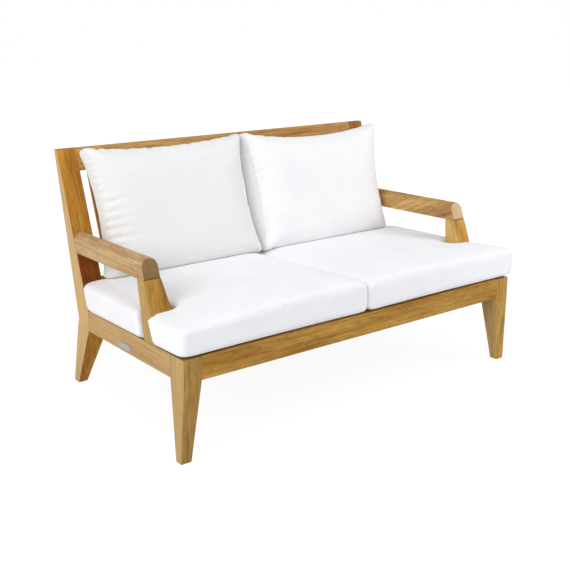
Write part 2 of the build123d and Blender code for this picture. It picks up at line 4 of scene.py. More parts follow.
import bmesh
import bpy
import numpy as np
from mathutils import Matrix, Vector


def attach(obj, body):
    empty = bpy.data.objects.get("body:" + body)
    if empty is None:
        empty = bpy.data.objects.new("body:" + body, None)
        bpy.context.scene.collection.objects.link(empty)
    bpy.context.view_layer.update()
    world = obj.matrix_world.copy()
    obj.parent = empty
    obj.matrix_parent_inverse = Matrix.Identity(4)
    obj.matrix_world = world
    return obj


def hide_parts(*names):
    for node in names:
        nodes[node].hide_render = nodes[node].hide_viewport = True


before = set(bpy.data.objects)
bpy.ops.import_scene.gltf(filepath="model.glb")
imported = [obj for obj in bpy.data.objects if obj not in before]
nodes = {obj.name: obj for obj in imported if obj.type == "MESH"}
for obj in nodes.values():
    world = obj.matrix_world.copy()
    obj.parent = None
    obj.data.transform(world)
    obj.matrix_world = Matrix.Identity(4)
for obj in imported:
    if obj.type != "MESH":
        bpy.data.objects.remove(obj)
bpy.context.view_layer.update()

# The view.
# The camera stands to the left of the front and a little above the cushions. It is placed by the
# corners of the legs, the crest and the arms, and its frame is shifted to keep the legs upright.

camera_data = bpy.data.cameras.new("view")
camera_data.sensor_width = 36.0
camera_data.lens = 57.73
camera_data.shift_x = 0.0548
camera_data.shift_y = -0.1845
camera = bpy.data.objects.new("view", camera_data)
camera.location = (-2.1020, -2.6670, 1.3811)
camera.rotation_euler = (math.radians(90 - 10.61), 0, math.radians(-35.905))
bpy.context.collection.objects.link(camera)
bpy.context.scene.camera = camera
bpy.context.scene.view_settings.view_transform = "Standard"

# The studio.
# A white floor under a white surround, with a faint shadow close to the feet. One large soft lamp
# stands high on the left, a broad weak one hangs overhead, and a small one at the front lights the
# right end more than the left.


def linear(hex_code):
    """An sRGB colour written as six hex digits, as the linear colour that Blender mixes."""
    shares = [int(hex_code[i : i + 2], 16) / 255 for i in (0, 2, 4)]
    return [s / 12.92 if s <= 0.04045 else ((s + 0.055) / 1.055) ** 2.4 for s in shares] + [1.0]


def add(tree, kind, values=None, links=None, **settings):
    """Adds a node with its settings, the values of its inputs, and the sockets that feed them."""
    node = tree.nodes.new(kind)
    for name, setting in settings.items():
        setattr(node, name, setting)
    for key, value in (values or {}).items():
        node.inputs[key].default_value = value
    for key, socket in (links or {}).items():
        tree.links.new(socket, node.inputs[key])
    return node


def new_material(name):
    """An empty material, its node tree and its output node."""
    material = bpy.data.materials.new(name)
    material.use_nodes = True
    tree = material.node_tree
    tree.nodes.clear()
    return material, tree, add(tree, "ShaderNodeOutputMaterial")


def seen_directly(tree):
    """1 where the camera, a reflection or a view through glass sees the surround, else 0."""
    path = add(tree, "ShaderNodeLightPath")
    gloss = add(
        tree,
        "ShaderNodeMath",
        operation="MAXIMUM",
        links={0: path.outputs["Is Camera Ray"], 1: path.outputs["Is Glossy Ray"]},
    )
    return add(
        tree,
        "ShaderNodeMath",
        operation="MAXIMUM",
        links={0: gloss.outputs[0], 1: path.outputs["Is Transmission Ray"]},
    ).outputs[0]


world = bpy.data.worlds.new("studio")
bpy.context.scene.world = world
world.use_nodes = True
tree = world.node_tree
tree.nodes.clear()
ambient = add(tree, "ShaderNodeBackground", {"Color": linear("F4F6FA"), "Strength": 0.48})
surround = add(tree, "ShaderNodeBackground", {"Color": linear("FFFFFF"), "Strength": 1.0})
both = add(
    tree,
    "ShaderNodeMixShader",
    links={0: seen_directly(tree), 1: ambient.outputs[0], 2: surround.outputs[0]},
)
add(tree, "ShaderNodeOutputWorld", links={"Surface": both.outputs[0]})

floor_material, tree, output = new_material("studio floor, matt white paper")
paper = add(tree, "ShaderNodeBsdfDiffuse", {"Color": linear("F2F2F2")})
glow = add(tree, "ShaderNodeEmission", {"Color": linear("FFFFFF"), "Strength": 1.08})
spot = add(tree, "ShaderNodeTexCoord")
away = add(
    tree, "ShaderNodeVectorMath", links={0: spot.outputs["Object"]}, operation="LENGTH"
)
share = add(
    tree,
    "ShaderNodeMapRange",
    {"From Min": 0.8, "From Max": 2.4, "To Min": 0.86, "To Max": 1.0},
    {"Value": away.outputs["Value"]},
)
lit = add(
    tree,
    "ShaderNodeMath",
    links={0: seen_directly(tree), 1: share.outputs[0]},
    operation="MULTIPLY",
)
mixed = add(
    tree,
    "ShaderNodeMixShader",
    links={0: lit.outputs[0], 1: paper.outputs[0], 2: glow.outputs[0]},
)
tree.links.new(mixed.outputs[0], output.inputs["Surface"])

floor_mesh = bmesh.new()
bmesh.ops.create_grid(floor_mesh, x_segments=1, y_segments=1, size=12.0)
floor_data = bpy.data.meshes.new("floor")
floor_mesh.to_mesh(floor_data)
floor_mesh.free()
floor = bpy.data.objects.new("floor", floor_data)
floor_data.materials.append(floor_material)
bpy.context.collection.objects.link(floor)

# Each lamp's place, the side of its square, and its power in watts
lamps = {
    "window": ((-3.8, -1.3, 2.6), 2.6, 100.0),
    "overhead": ((-0.2, -0.4, 3.8), 3.2, 22.0),
    "front": ((2.1, -1.95, 1.9), 1.4, 34.0),
}
for name, (place, size, power) in lamps.items():
    data = bpy.data.lights.new(name, "AREA")
    data.size = size
    data.energy = power
    lamp = bpy.data.objects.new(name, data)
    lamp.location = place
    towards_seat = Vector((0, 0, 0.4)) - Vector(place)
    lamp.rotation_euler = towards_seat.to_track_quat("-Z", "Y").to_euler()
    bpy.context.collection.objects.link(lamp)

# The teak frame.
# Every board is solid teak, planed and hand sanded, with its edges eased and no oil or varnish.
# Grain runs along each board, and each is a little redder, yellower or darker than the next.

# How a board's coordinates are turned, so that its grain lies along x
GRAIN_TURNS = {
    "x": (0, 0, 0),
    "y": (0, 0, -math.pi / 2),
    "z": (0, math.pi / 2, 0),
    "knee": (0, math.pi / 2, 0),
    "back": (math.radians(21.75), math.pi / 2, 0),
    "post": (math.radians(17.0), math.pi / 2, 0),
    "slant": (math.radians(24.0), 0, -math.pi / 2),
}


def teak(name, grain, pale, heart, shift, figure, side_light_share=0.3, end="8E6E3C"):
    """Sanded teak: soft streaks along the grain, fine dark pores, and end grain of its own colour.

    Faces looking out to the sides are painted paler than the rest, as painted side light and sheen.
    """
    material, tree, output = new_material(name)
    place = add(tree, "ShaderNodeTexCoord")
    where = place.outputs["Object"]
    if grain == "knee":
        # A rear leg leans back above the seat and forward below it, and its grain with it
        parts = add(tree, "ShaderNodeSeparateXYZ", links={0: where})
        above = add(
            tree, "ShaderNodeMath", {1: 0.32}, {0: parts.outputs["Z"]}, operation="SUBTRACT"
        )
        rise = add(tree, "ShaderNodeMath", links={0: above.outputs[0]}, operation="ABSOLUTE")
        upright = add(
            tree,
            "ShaderNodeMath",
            {1: -0.4},
            {0: rise.outputs[0], 2: parts.outputs["Y"]},
            operation="MULTIPLY_ADD",
        )
        where = add(
            tree,
            "ShaderNodeCombineXYZ",
            links={"X": parts.outputs["X"], "Y": upright.outputs[0], "Z": parts.outputs["Z"]},
        ).outputs[0]
    turned = add(
        tree,
        "ShaderNodeMapping",
        {"Rotation": GRAIN_TURNS[grain], "Location": (shift * 1.7, shift * 0.31, shift * 0.23)},
        {"Vector": where},
    )
    facing = add(
        tree,
        "ShaderNodeMapping",
        {"Rotation": GRAIN_TURNS[grain]},
        {"Vector": place.outputs["Normal"]},
        vector_type="NORMAL",
    )

    def stretched(along, across):
        """Object coordinates with the grain drawn out: cells per metre along and across it."""
        return add(
            tree,
            "ShaderNodeVectorMath",
            {1: (along, across, across)},
            {0: turned.outputs[0]},
            operation="MULTIPLY",
        ).outputs[0]

    def share_of(value, low, high, most):
        """How far a value has come between two limits, as a share of the most it may be."""
        return add(
            tree,
            "ShaderNodeMapRange",
            {"From Min": low, "From Max": high, "To Max": most},
            {"Value": value},
        ).outputs[0]

    def stained(colour, stain, share, blend):
        """A colour with a share of a stain over it."""
        return add(
            tree,
            "ShaderNodeMixRGB",
            {"Color2": linear(stain)},
            {"Color1": colour, "Fac": share},
            blend_type=blend,
        ).outputs[0]

    def magnitude(vector, axis):
        """The size of one component of a vector, without its sign."""
        component = add(tree, "ShaderNodeSeparateXYZ", links={0: vector}).outputs[axis]
        return add(tree, "ShaderNodeMath", links={0: component}, operation="ABSOLUTE").outputs[0]

    # Broad tone over half a metre, growth streaks some 10 mm apart, cloudy mottling where the grain
    # rises and falls, finer streaks 4 mm apart, and pores drawn 1.5 mm apart, three times as coarse
    # as they are, so that they show at all. Each has its cells per metre along and across the grain
    patterns = {
        "tone": ((2.0, 13), {"Detail": 3.0}),
        "growth": ((2.2, 55), {"Detail": 3.0, "Roughness": 0.55, "Distortion": 1.1 * figure}),
        "mottle": ((22, 85), {"Detail": 3.0, "Distortion": 0.8}),
        "streaks": ((3.5, 130), {"Detail": 4.0, "Roughness": 0.6}),
        "pores": ((26, 640), {"Detail": 2.0, "Roughness": 0.7}),
    }
    figures = {}
    for pattern, (cells, values) in patterns.items():
        vector = {"Vector": stretched(*cells)}
        noise = add(tree, "ShaderNodeTexNoise", {"Scale": 1.0, **values}, vector)
        figures[pattern] = noise.outputs["Fac"]
    ground = add(
        tree,
        "ShaderNodeMixRGB",
        {"Color1": linear(pale), "Color2": linear(heart)},
        {"Fac": share_of(figures["tone"], 0.36, 0.66, 1.0)},
    ).outputs[0]

    # Each stain, the pattern that it follows, between which two values it comes in, and its most
    stains = (
        ("9A6A34", "growth", 0.5, 0.7, 0.46 * figure, "MULTIPLY"),
        ("A47E52", "mottle", 0.48, 0.66, 0.3 * figure, "MULTIPLY"),
        ("FFF0C8", "mottle", 0.48, 0.3, 0.16 * figure, "SOFT_LIGHT"),
        ("A07038", "streaks", 0.48, 0.7, 0.46, "MULTIPLY"),
        ("7A4E22", "pores", 0.56, 0.74, 0.4, "MULTIPLY"),
    )
    for stain, pattern, low, high, most, blend in stains:
        ground = stained(ground, stain, share_of(figures[pattern], low, high, most), blend)
    if grain == "knee":
        # Painted shade: the stile's front is darkened red-brown just above the seat, under the arm
        level = add(
            tree, "ShaderNodeMath", {1: 0.44}, {0: parts.outputs["Z"]}, operation="SUBTRACT"
        )
        height = add(tree, "ShaderNodeMath", links={0: level.outputs[0]}, operation="ABSOLUTE")
        arm_shadow_band = share_of(height.outputs[0], 0.1, 0.06, 0.85)
        aspect = add(tree, "ShaderNodeSeparateXYZ", links={0: place.outputs["Normal"]})
        front = share_of(aspect.outputs["Y"], -0.2, -0.6, 1.0)
        both = add(tree, "ShaderNodeMath", links={0: arm_shadow_band, 1: front}, operation="MULTIPLY")
        ground = stained(ground, "9C5626", both.outputs[0], "MULTIPLY")
    # Painted side light: faces looking to either side are mixed towards a pale tan
    painted_side_light = share_of(magnitude(place.outputs["Normal"], "X"), 0.6, 0.95, side_light_share)
    ground = stained(ground, "DABE8C", painted_side_light, "MIX")
    sawn_end = share_of(magnitude(facing.outputs[0], "X"), 0.72, 0.92, 0.8)
    ground = stained(ground, end, sawn_end, "MIX")
    gloss = add(
        tree,
        "ShaderNodeMapRange",
        {"From Min": 0.3, "From Max": 0.7, "To Min": 0.56, "To Max": 0.72},
        {"Value": figures["streaks"]},
    )
    relief = add(
        tree,
        "ShaderNodeBump",
        {"Strength": 0.35, "Distance": 0.0004},
        {"Height": figures["pores"]},
        invert=True,
    )
    shader = add(
        tree,
        "ShaderNodeBsdfPrincipled",
        {"IOR": 1.45, "Specular IOR Level": 0.25},
        {"Base Color": ground, "Roughness": gloss.outputs[0], "Normal": relief.outputs[0]},
    )
    tree.links.new(shader.outputs[0], output.inputs["Surface"])
    return material


def dress(node, material):
    """Gives a CAD node its material."""
    data = nodes[node].data
    data.materials.clear()
    data.materials.append(material)


# Rails and legs: honey-coloured boards, the left stile's sides painted palest. Each has its grain,
# its pale and its heart wood, the strength of its figure, and its share of painted side light
rail_teaks = {
    "front_rail": ("x", "C59946", "A6772C", 0.95, 0.35),
    "rear_rail": ("x", "B7893A", "996721", 0.9, 0.35),
    "side_rail_left": ("y", "B68B4C", "A07238", 0.8, 0.36),
    "side_rail_right": ("y", "B68B4C", "A07238", 0.8, 0.35),
    "front_leg_left": ("z", "B8944F", "A27B3D", 0.8, 0.34),
    "front_leg_right": ("z", "C2984C", "AC7E35", 0.9, 0.35),
    "rear_leg_left": ("knee", "CF973A", "B17426", 1.0, 0.6),
    "rear_leg_right": ("knee", "B18238", "986627", 1.0, 0.35),
    "back_top_rail": ("x", "C79E60", "B38548", 0.8, 0.35),
    "back_lower_rail": ("x", "B1843B", "956424", 0.9, 0.35),
}
for index, (node, (grain, pale, heart, figure, side_light_share)) in enumerate(rail_teaks.items()):
    shift = 0.4 + index * 0.73
    dress(node, teak(f"sanded teak, {node}", grain, pale, heart, shift, figure, side_light_share))

# Slats, cleats and bearers: three boards' worth of colour, dealt out in turn
slat_tones = (("B8873D", "9E6A29"), ("B17E38", "956122"), ("BE9146", "A7732D"))
for grain, prefix in (("x", "seat_slat_0"), ("back", "back_slat_")):
    slats = sorted(name for name in nodes if name.startswith(prefix))
    for index, node in enumerate(slats):
        pale, heart = slat_tones[index % 3]
        dress(node, teak(f"sanded teak, {node}", grain, pale, heart, 8.3 + index * 0.37, 0.9))
for node in ("seat_cleat_left", "seat_cleat_right", "seat_bearer_left", "seat_bearer_right"):
    dress(node, teak(f"sanded teak, {node}", "y", "B98C42", "9E6E2E", 15.7, 0.7))

# Arm posts and arms: the arms are cooler, pinker boards than their yellow posts. The dowels that
# hold them are turned from pale offcuts
arm_teaks = {
    "arm_post_left": ("post", "B9903F", "9F722B", 21.3, 0.8),
    "arm_post_right": ("post", "D8AC56", "BE8A3E", 27.9, 0.8),
    "arm_left": ("y", "CAAA80", "AD8559", 24.4, 1.1, 0.24, "785C34"),
    "arm_right": ("slant", "D2A868", "AC7E44", 31.0, 1.2, 0.1, "D2B68C"),
    "frame_dowels": ("y", "DDBB8A", "CBA672", 3.0, 0.4),
}
for node, board in arm_teaks.items():
    dress(node, teak(f"sanded teak, {node}", *board))

# The small metal parts.
# Slat screws and the plate on the left rail are stainless steel. The plate is brushed along its
# length and bare, held by two pins with low round heads.


def stainless(name, colour, rough, scratch_along, scratch_across):
    """Stainless steel with fine brushed lines along the rail, and a soft broken shine."""
    material, tree, output = new_material(name)
    place = add(tree, "ShaderNodeTexCoord")
    lines = add(
        tree,
        "ShaderNodeVectorMath",
        {1: (scratch_across, scratch_along, scratch_across)},
        {0: place.outputs["Object"]},
        operation="MULTIPLY",
    )
    scratches = add(
        tree, "ShaderNodeTexNoise", {"Scale": 1.0, "Detail": 3.0}, {"Vector": lines.outputs[0]}
    )
    spread = add(
        tree,
        "ShaderNodeMapRange",
        {"From Min": 0.3, "From Max": 0.7, "To Min": rough - 0.08, "To Max": rough + 0.1},
        {"Value": scratches.outputs["Fac"]},
    )
    bump = add(
        tree,
        "ShaderNodeBump",
        {"Strength": 0.25, "Distance": 0.0001},
        {"Height": scratches.outputs["Fac"]},
    )
    shader = add(
        tree,
        "ShaderNodeBsdfPrincipled",
        {"Base Color": linear(colour), "Metallic": 1.0},
        {"Roughness": spread.outputs[0], "Normal": bump.outputs[0]},
    )
    tree.links.new(shader.outputs[0], output.inputs["Surface"])
    return material


# Brushed lines 0.4 mm apart and some 30 mm long on the plate, and an even satin on the rest
dress("rail_plate", stainless("brushed stainless plate", "ABAFB2", 0.42, 30, 2500))
dress("rail_plate_pins", stainless("stainless pin", "B9BCBE", 0.35, 300, 300))
dress("seat_slat_screws", stainless("stainless screw", "B4B6B8", 0.38, 300, 300))

# The cushion fabric.
# White acrylic canvas in a plain weave, matt, with a faint nap, sewn with white thread. Seams are
# drawn in a little and gather the cloth beside them. A grey line painted along each seam stands for
# the thread and painted shade in its groove.

# Drawn three times as coarse as it is, so that the weave shows
THREAD_SPACING = 0.0017


def canvas(name, colour):
    """Plain-woven canvas, matt and softly clouded, with thread and painted groove shade at seams.
    """
    material, tree, output = new_material(name)
    place = add(tree, "ShaderNodeTexCoord")
    # At a scale of 1 the bands of a wave repeat every 2 pi / 20 of a metre
    scale = 2 * math.pi / 20 / THREAD_SPACING
    weave = None
    for direction in ("X", "Y", "Z"):
        threads = add(
            tree,
            "ShaderNodeTexWave",
            {"Scale": scale, "Distortion": 1.2, "Detail": 1.0, "Detail Scale": 0.2},
            {"Vector": place.outputs["Object"]},
            bands_direction=direction,
        )
        if weave is None:
            weave = threads.outputs["Fac"]
        else:
            links = {0: weave, 1: threads.outputs["Fac"]}
            weave = add(tree, "ShaderNodeMath", links=links, operation="ADD").outputs[0]
    where = {"Vector": place.outputs["Object"]}
    mottle = add(tree, "ShaderNodeTexNoise", {"Scale": 9.0, "Detail": 4.0}, where)
    slub = add(tree, "ShaderNodeTexNoise", {"Scale": 420.0, "Detail": 2.0}, where)
    clouded = add(
        tree,
        "ShaderNodeMapRange",
        {"From Min": 0.4, "From Max": 0.8, "To Max": 0.35},
        {"Value": mottle.outputs["Fac"]},
    )
    cloth = add(
        tree,
        "ShaderNodeMixRGB",
        {"Color1": linear(colour), "Color2": linear("E6E6EA")},
        {"Fac": clouded.outputs[0]},
    )
    seam = add(tree, "ShaderNodeAttribute", attribute_name="seam")
    # Painted shade: the seam line is mixed towards grey, for the thread and the shade in its groove
    thread_and_groove_shade = add(
        tree, "ShaderNodeMath", {1: 0.55}, {0: seam.outputs["Fac"]}, operation="MULTIPLY"
    )
    sewn = add(
        tree,
        "ShaderNodeMixRGB",
        {"Color2": linear("CFCBCE")},
        {"Color1": cloth.outputs[0], "Fac": thread_and_groove_shade.outputs[0]},
    )
    height = add(
        tree,
        "ShaderNodeMath",
        {1: 0.35},
        {0: weave, 2: slub.outputs["Fac"]},
        operation="MULTIPLY_ADD",
    )
    relief = add(
        tree,
        "ShaderNodeBump",
        {"Strength": 0.28, "Distance": 0.0004},
        {"Height": height.outputs[0]},
    )
    shader = add(
        tree,
        "ShaderNodeBsdfPrincipled",
        {
            "Roughness": 0.88,
            "Specular IOR Level": 0.25,
            "Sheen Weight": 0.12,
            "Sheen Roughness": 0.6,
        },
        {"Base Color": sewn.outputs[0], "Normal": relief.outputs[0]},
    )
    tree.links.new(shader.outputs[0], output.inputs["Surface"])
    return material


seat_canvas = canvas("white acrylic canvas, plain weave", "F3F3F5")
# Painted shade: the left pillow's canvas is greyer than the right's, as it stands in less light
pillow_canvases = {
    "left": canvas("shade-greyed white acrylic canvas, plain weave", "EBEBE9"),
    "right": canvas("neutral white acrylic canvas, plain weave", "F3F3F3"),
}

# How every cushion is made up.
# The outer skin of the cover is filled until it is tight, held within a few millimetres of the
# pattern it was cut to, and kept clear of the boards and cushions it lies against.


def outer_skin(node):
    """The outside of a cover as a closed mesh, without the wall's inner side."""
    skin = bmesh.new()
    skin.from_mesh(nodes[node].data)
    bmesh.ops.remove_doubles(skin, verts=skin.verts, dist=0.00001)
    skin.verts.ensure_lookup_table()
    unseen = set(skin.verts)
    shells = []
    while unseen:
        front = [unseen.pop()]
        shell = set(front)
        while front:
            vertex = front.pop()
            for edge in vertex.link_edges:
                other = edge.other_vert(vertex)
                if other in unseen:
                    unseen.discard(other)
                    shell.add(other)
                    front.append(other)
        shells.append(shell)

    def width(shell):
        places = [vertex.co.x for vertex in shell]
        return max(places) - min(places)

    outside = max(shells, key=width)
    bmesh.ops.delete(skin, geom=[v for v in skin.verts if v not in outside], context="VERTS")
    bmesh.ops.recalc_face_normals(skin, faces=skin.faces)
    data = bpy.data.meshes.new(node)
    skin.to_mesh(data)
    skin.free()
    return data


def baked(obj):
    """The mesh of an object with its modifiers applied, in place of its own."""
    graph = bpy.context.evaluated_depsgraph_get()
    graph.update()
    data = bpy.data.meshes.new_from_object(obj.evaluated_get(graph))
    obj.modifiers.clear()
    obj.data = data
    return data


# How far inside its pattern the cloth starts, and the steps in which it is blown up
SLACK = 0.001
FILLING_STEPS = 20


def filled(name, node, voxel, softened, swell, rests, clear):
    """A cover, remeshed in even squares, then blown up by a cloth simulation and held in bounds.

    It swells past its pattern by no more than the given length. Faces that look one of the ways it
    rests keep the form of the pattern, since they lie flat.
    """
    obj = bpy.data.objects.new(name, outer_skin(node))
    bpy.context.collection.objects.link(obj)
    remesh = obj.modifiers.new("even squares", "REMESH")
    remesh.mode = "VOXEL"
    remesh.voxel_size = voxel
    smooth = obj.modifiers.new("soft edges", "SMOOTH")
    smooth.iterations = softened
    smooth.factor = 0.5
    data = baked(obj)
    start = [v.co.copy() for v in data.vertices]
    normals = [v.normal.copy() for v in data.vertices]
    for vertex, normal in zip(data.vertices, normals):
        vertex.co -= normal * SLACK
    cloth = obj.modifiers.new("filling", "CLOTH")
    cloth.settings.use_pressure = True
    cloth.settings.uniform_pressure_force = 4.0
    cloth.settings.effector_weights.gravity = 0.0
    cloth.settings.quality = 5
    cloth.settings.mass = 0.3
    cloth.settings.tension_stiffness = 15.0
    cloth.settings.compression_stiffness = 15.0
    cloth.settings.bending_stiffness = 0.5
    cloth.settings.shrink_min = -0.02
    cloth.collision_settings.use_collision = False
    cloth.point_cache.frame_start = 1
    cloth.point_cache.frame_end = FILLING_STEPS
    for step in range(1, FILLING_STEPS + 1):
        bpy.context.scene.frame_set(step)
    data = baked(obj)
    bpy.context.scene.frame_set(1)
    for vertex, home, normal in zip(data.vertices, start, normals):
        move = vertex.co - home
        if move.length > swell:
            move *= swell / move.length
        flat = max(0.0, max(normal.dot(way) for way in rests) - 0.7) / 0.3
        vertex.co = clear(home + move * (1 - min(1.0, 2 * flat)))
    finer = obj.modifiers.new("finer squares", "SUBSURF")
    finer.levels = finer.render_levels = 1
    baked(obj)
    return obj


# Half the width of the groove that the thread lies in, and the share of a seam's depth that the
# cloth beside it takes up
HALF_GROOVE = 0.0025
DRAWN_IN = 0.45


def sewn(obj, seams, depth, reach, mark=1.0):
    """Draws the cloth in along each seam and marks its groove for thread and painted shade.

    A seam is a plane, given by a point and a normal, that cuts the cushion's edge all the way
    round. The thread lies in a groove, and the cloth within its reach is drawn in more gently.
    """
    data = obj.data
    skin = bmesh.new()
    skin.from_mesh(data)
    for point, normal in seams:
        for aside in (-HALF_GROOVE, 0.0, HALF_GROOVE):
            bmesh.ops.bisect_plane(
                skin,
                geom=skin.verts[:] + skin.edges[:] + skin.faces[:],
                dist=0.0003,
                plane_co=point + normal * aside,
                plane_no=normal,
            )
    skin.normal_update()
    seam = skin.verts.layers.float.new("seam")
    for vertex in skin.verts:
        away = min(abs((vertex.co - point).dot(normal)) for point, normal in seams)
        steep = min(abs(vertex.normal.dot(normal)) for point, normal in seams)
        if away < reach and steep < 0.97:
            vertex.co -= vertex.normal * depth * DRAWN_IN * (1 - away / reach) ** 2
        # Marked for the canvas's grey seam line: the thread and painted groove shade
        if away < 0.0006 and steep < 0.97:
            vertex.co -= vertex.normal * depth * (1 - DRAWN_IN)
            vertex[seam] = mark
    skin.to_mesh(data)
    skin.free()


def gathered(obj, creases, clear):
    """Presses creases into the cloth: each has a start, a run, the way its face looks, and a size.

    A crease is deepest near its start and fades out along its run, with the cloth standing a
    little proud on both sides of it. It follows the face, however that is curved.
    """
    data = obj.data
    places = np.empty(len(data.vertices) * 3)
    data.vertices.foreach_get("co", places)
    places = places.reshape(-1, 3)
    normals = np.empty(len(data.vertices) * 3)
    data.vertices.foreach_get("normal", normals)
    normals = normals.reshape(-1, 3)
    sunk = np.zeros(len(places))
    for point, run, facing, length, width, depth in creases:
        facing = np.array(Vector(facing).normalized())
        run = np.array(run) - facing * (np.array(run) @ facing)
        run /= np.linalg.norm(run)
        offset = places - np.array(point)
        along = offset @ run
        across = np.abs(offset @ np.cross(run, facing))
        fade = np.clip(1 - np.maximum(along, 0) / length, 0, 1) ** 1.5
        fade *= np.clip((along + 0.02) / 0.02, 0, 1)
        valley = np.exp(-((across / width) ** 2))
        ridges = np.exp(-(((across - 2 * width) / width) ** 2))
        on_face = np.clip((normals @ facing - 0.1) / 0.4, 0, 1)
        sunk += depth * fade * (valley - 0.45 * ridges) * on_face
    for vertex, place, normal, deep in zip(data.vertices, places, normals, sunk):
        vertex.co = clear(Vector(place - normal * deep))
    data.update()


def finished(obj, body, cover_nodes, cloth):
    """Gives a cushion its canvas, and says what it stands for and what it moves with."""
    for polygon in obj.data.polygons:
        polygon.use_smooth = True
    obj.data.materials.clear()
    obj.data.materials.append(cloth)
    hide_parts(*cover_nodes)
    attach(obj, body)


# The seat cushions.
# Boxed foam cushions a little wider than the frame and thinner at the back, notched round the arm
# posts, with a top seam all round. Their undersides curl up where they hang past the rails.

# How far the origin lies behind the front rail's face
MIDDLE_DEPTH = 0.439091

# The planes of the seat, its seam and the back: a point of each, and the way it faces
SEAT_TILT = math.radians(1.8)
SEAT_SEAM_TILT = SEAT_TILT + math.radians(1.18)
BACK_RAKE = math.radians(21.75)
SEAT_FRONT = Vector((0, -MIDDLE_DEPTH, 0.3403))
SEAT_UP = Vector((0, math.sin(SEAT_TILT), math.cos(SEAT_TILT)))
SEAT_SEAM = Vector((0, 0.3277 - MIDDLE_DEPTH, 0.4301))
SEAT_SEAM_UP = Vector((0, math.sin(SEAT_SEAM_TILT), math.cos(SEAT_SEAM_TILT)))
BACK_FOOT = Vector((0, 0.649 - MIDDLE_DEPTH, 0.3196))
BACK_FORWARD = Vector((0, -math.cos(BACK_RAKE), math.sin(BACK_RAKE)))

# How far the cloth stays off what it lies against
CLEARANCE = 0.0006


def clear_of(sign, *boards):
    """Keeps a cushion's cloth off the boards, and on its own side of the split in the middle."""

    def held(co):
        for point, facing in boards:
            sunk = CLEARANCE - (co - point).dot(facing)
            if sunk > 0:
                co = co + facing * sunk
        co.x = sign * max(sign * co.x, CLEARANCE)
        return co

    return held


# Where the arm post stands, across and from front to back, and the boxing's height there
POST_ACROSS, POST_BACK = 0.72, -0.33
BOXING_HEIGHT = 0.11

# How far the front outer corners lie to the right, and how far the lower edges are drawn up
CORNER_SHIFT = 0.009
EDGE_LIFT = 0.0035

# The foam beside the arm post has slumped, more on the left
random.seed(7)
for side, sign, slump in (("left", -1, 0.021), ("right", 1, 0.005)):
    body, cover = f"seat_cushion_{side}", f"seat_cover_{side}"
    rests = (-SEAT_UP, -BACK_FORWARD, Vector((-sign, 0, 0)))
    clear = clear_of(sign, (SEAT_FRONT, SEAT_UP), (BACK_FOOT, BACK_FORWARD))
    cushion = filled(body, cover, voxel=0.008, softened=9, swell=0.004, rests=rests, clear=clear)
    sewn(cushion, [(SEAT_SEAM, SEAT_SEAM_UP)], depth=0.0009, reach=0.012, mark=0.4)
    for vertex in cushion.data.vertices:
        # The set lies a little to the right of the frame's middle, so its front corners do too,
        # and its lower edges stand just clear of the rails
        across = sign * vertex.co.x
        above = (vertex.co - SEAT_FRONT).dot(SEAT_UP)
        outer = max(0.0, across / 0.15 - 4.1) * max(0.0, min(1.0, -5 * vertex.co.y - 1))
        post_away = (across - POST_ACROSS) ** 2 + (vertex.co.y - POST_BACK) ** 2
        rim = min(1.0, max(0.0, (-vertex.co.y - 0.41) / 0.03, (across - 0.735) / 0.03))
        sunk = slump * math.exp(-post_away / 0.08)
        vertex.co.z -= sunk * min(1.0, max(0.0, above / BOXING_HEIGHT))
        vertex.co.z += EDGE_LIFT * rim * min(1.0, max(0.0, 1 - above / 0.03))
        vertex.co.x += CORNER_SHIFT * min(1.0, outer)

    # Faint creases run down the front boxing from the seam
    creases = []
    for _ in range(9):
        start = Vector((sign * random.uniform(0.1, 0.7), -MIDDLE_DEPTH - 0.008, 0))
        start.z = 0.34 + random.uniform(0.088, 0.1)
        way = (random.uniform(-0.5, 0.5), 0, -1)
        creases.append((start, way, (0, -1, 0), 0.05, 0.007, 0.001))
    gathered(cushion, creases, clear)
    pieces = [cover, f"seat_core_{side}", f"seat_zip_{side}"]
    finished(cushion, body, pieces, seat_canvas)

# The back cushions.
# Plump fibre-filled pillows with a narrow boxing between two seams. They stand on the seat
# cushions and lean on the rails, and their sides and tops are drawn in between the corners.

PILLOW_LEAN = math.radians(18.75)
PILLOW_FOOT = Vector((0, 0.640 - MIDDLE_DEPTH, 0.4320))
PILLOW_UP = Vector((0, math.sin(PILLOW_LEAN), math.cos(PILLOW_LEAN)))
PILLOW_FORWARD = Vector((0, -math.cos(PILLOW_LEAN), math.sin(PILLOW_LEAN)))
REAR_FORWARD = Vector((0, -math.cos(PILLOW_LEAN - 0.0314), math.sin(PILLOW_LEAN - 0.0314)))
PILLOW_HEIGHT = 0.478
HALF_BOXING = 0.032

# How far the rear inner sides are squeezed together, and the foot is drawn up off the seat
SQUEEZED = 0.009
FOOT_LIFT = 0.0038


def pillow_place(up, across, forward):
    """A point by its height up the pillow, its distance across, and how far ahead of the middle."""
    return PILLOW_FOOT + PILLOW_UP * up + PILLOW_FORWARD * forward + Vector((across, 0, 0))


